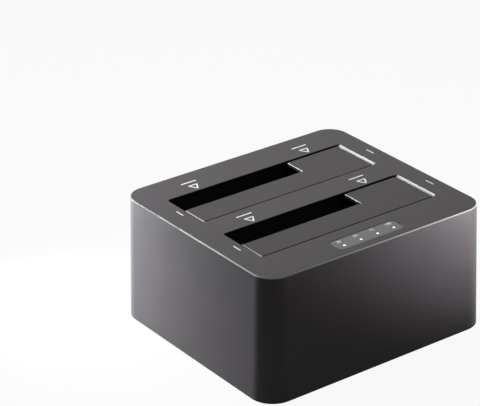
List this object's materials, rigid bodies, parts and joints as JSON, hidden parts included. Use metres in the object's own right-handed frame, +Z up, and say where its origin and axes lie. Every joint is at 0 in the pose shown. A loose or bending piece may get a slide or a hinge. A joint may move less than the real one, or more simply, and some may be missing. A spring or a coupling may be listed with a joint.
{
  "type": "hard drive docking station",
  "caption": "Desktop dock with two top-loading drive bays closed by sprung L-shaped flaps, progress lights, and power, USB, copy and rocker controls on the back.",
  "frame": {"origin": "centre of the footprint, on the plane of the feet's undersides", "axes": "+X to the right along the front, +Y towards the back with the sockets, +Z up"},
  "size_m": [0.1336, 0.1196, 0.0655],
  "materials": {
    "case_plastic": "satin black, fine moulded texture",
    "base_plastic": "matt black",
    "frame_plastic": "matt black",
    "flap_plastic": "satin black",
    "steel": "bright",
    "spring_steel": "wire",
    "connector_plastic": "moulded",
    "contact_gold": "plated",
    "circuit_board": "green lacquer",
    "chip_resin": "moulded resin",
    "aluminium": "bare can",
    "usb_plastic": "blue",
    "switch_plastic": "glossy black",
    "button_plastic": "satin black",
    "window_plastic": "smoked translucent",
    "clear_plastic": "clear",
    "lamp_resin": "milky",
    "ribbon_plastic": "grey",
    "rubber": "matt black"
  },
  "bodies": {
    "station": {"housing": "case_plastic", "base_cover": "base_plastic", "front_bay_frame": "frame_plastic", "rear_bay_frame": "frame_plastic", "front_flap_pin": "steel", "rear_flap_pin": "steel", "front_flap_spring": "spring_steel", "rear_flap_spring": "spring_steel", "front_drive_connector": "connector_plastic", "rear_drive_connector": "connector_plastic", "front_drive_contacts": "contact_gold", "rear_drive_contacts": "contact_gold", "main_board": "circuit_board", "bridge_chip": "chip_resin", "memory_chip": "chip_resin", "crystal": "steel", "power_capacitors": "aluminium", "power_inductors": "chip_resin", "power_jack": "connector_plastic", "power_jack_pin": "steel", "usb_shell": "steel", "usb_tongues": "usb_plastic", "rocker_frame": "switch_plastic", "rocker_terminals": "steel", "copy_switch": "connector_plastic", "light_window": "window_plastic", "light_guide": "clear_plastic", "light_board": "circuit_board", "progress_lamps": "lamp_resin", "ribbon_sockets": "connector_plastic", "light_ribbon": "ribbon_plastic", "case_screws": "steel", "front_frame_screws": "steel", "rear_frame_screws": "steel", "board_screws": "steel", "light_board_screws": "steel", "foot_front_left": "rubber", "foot_front_right": "rubber", "foot_rear_left": "rubber", "foot_rear_right": "rubber"},
    "front_flap": {"front_flap": "flap_plastic"},
    "rear_flap": {"rear_flap": "flap_plastic"},
    "power_rocker": {"power_rocker": "switch_plastic"},
    "copy_button": {"copy_button": "button_plastic", "copy_switch_plunger": "button_plastic"}
  },
  "joints": [
    {"name": "front_flap_hinge", "type": "hinge", "parent": "station", "child": "front_flap", "pos_m": [0, -0.037, 0.06175], "axis": [-1, 0, 0], "range_deg": [0, 90], "stiffness_Nm_per_rad": 0.01, "springref_deg": -34.38, "deforming": ["front_flap_spring"]},
    {"name": "rear_flap_hinge", "type": "hinge", "parent": "station", "child": "rear_flap", "pos_m": [0, 0.0081, 0.06175], "axis": [-1, 0, 0], "range_deg": [0, 90], "stiffness_Nm_per_rad": 0.01, "springref_deg": -34.38, "deforming": ["rear_flap_spring"]},
    {"name": "power_rocker_tilt", "type": "hinge", "parent": "station", "child": "power_rocker", "pos_m": [0.035, 0.0567, 0.0175], "axis": [0, 0, 1], "range_deg": [0, 14]},
    {"name": "copy_button_press", "type": "slide", "parent": "station", "child": "copy_button", "axis": [0, -1, 0], "range_m": [0, 0.0005], "stiffness_N_per_m": 200, "springref_m": -0.002}
  ]
}
